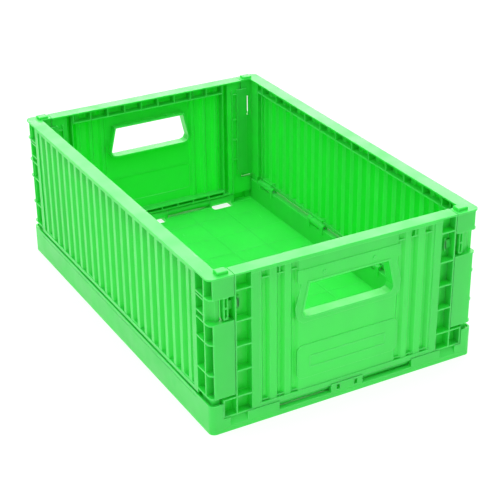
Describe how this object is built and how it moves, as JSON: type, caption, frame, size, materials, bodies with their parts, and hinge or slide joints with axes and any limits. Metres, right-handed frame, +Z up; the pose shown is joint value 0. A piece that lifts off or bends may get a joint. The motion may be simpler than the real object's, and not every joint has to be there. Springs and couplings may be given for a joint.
{
  "type": "collapsible storage crate",
  "caption": "Rectangular open-top plastic crate with ribbed hinged walls that fold flat onto its base tray, with hand openings in the end walls and latches at the corner posts.",
  "frame": {"origin": "on the ground under the centre of the crate's footprint", "axes": "+X along the crate's length towards the near end wall, +Y across it towards the right-hand long wall, +Z up"},
  "size_m": [0.6, 0.4, 0.224],
  "materials": {
    "base_polypropylene": "satin moulded polypropylene, green",
    "end_wall_polypropylene": "satin moulded polypropylene, green",
    "long_wall_polypropylene": "satin moulded polypropylene, green",
    "latch_polypropylene": "satin moulded polypropylene, green",
    "steel_pin": "drawn steel rod"
  },
  "bodies": {
    "base": {"base_tray": "base_polypropylene", "end_pin_near_left": "steel_pin", "end_pin_near_right": "steel_pin", "end_pin_far_left": "steel_pin", "end_pin_far_right": "steel_pin", "side_pin_left_1": "steel_pin", "side_pin_left_2": "steel_pin", "side_pin_left_3": "steel_pin", "side_pin_left_4": "steel_pin", "side_pin_right_1": "steel_pin", "side_pin_right_2": "steel_pin", "side_pin_right_3": "steel_pin", "side_pin_right_4": "steel_pin"},
    "long_left": {"long_wall_left": "long_wall_polypropylene"},
    "long_right": {"long_wall_right": "long_wall_polypropylene"},
    "end_near": {"end_wall_near": "end_wall_polypropylene"},
    "end_far": {"end_wall_far": "end_wall_polypropylene"},
    "latch_near_left_body": {"latch_near_left": "latch_polypropylene"},
    "latch_near_right_body": {"latch_near_right": "latch_polypropylene"},
    "latch_far_left_body": {"latch_far_left": "latch_polypropylene"},
    "latch_far_right_body": {"latch_far_right": "latch_polypropylene"}
  },
  "joints": [
    {"name": "end_wall_near_fold", "type": "hinge", "parent": "base", "child": "end_near", "pos_m": [0.288, 0, 0.014], "axis": [0, -1, 0], "range_deg": [0, 90]},
    {"name": "end_wall_far_fold", "type": "hinge", "parent": "base", "child": "end_far", "pos_m": [-0.288, 0, 0.014], "axis": [0, 1, 0], "range_deg": [0, 90]},
    {"name": "long_wall_right_fold", "type": "hinge", "parent": "base", "child": "long_right", "pos_m": [0, 0.186, 0.043], "axis": [1, 0, 0], "range_deg": [0, 0.25]},
    {"name": "long_wall_left_fold", "type": "hinge", "parent": "base", "child": "long_left", "pos_m": [0, -0.186, 0.043], "axis": [-1, 0, 0], "range_deg": [0, 0.25]},
    {"name": "latch_near_left_slide", "type": "slide", "parent": "end_near", "child": "latch_near_left_body", "axis": [0, -1, 0], "range_m": [0, 0.0035]},
    {"name": "latch_near_right_slide", "type": "slide", "parent": "end_near", "child": "latch_near_right_body", "axis": [0, 1, 0], "range_m": [0, 0.0035]},
    {"name": "latch_far_left_slide", "type": "slide", "parent": "end_far", "child": "latch_far_left_body", "axis": [0, -1, 0], "range_m": [0, 0.0035]},
    {"name": "latch_far_right_slide", "type": "slide", "parent": "end_far", "child": "latch_far_right_body", "axis": [0, 1, 0], "range_m": [0, 0.0035]}
  ]
}
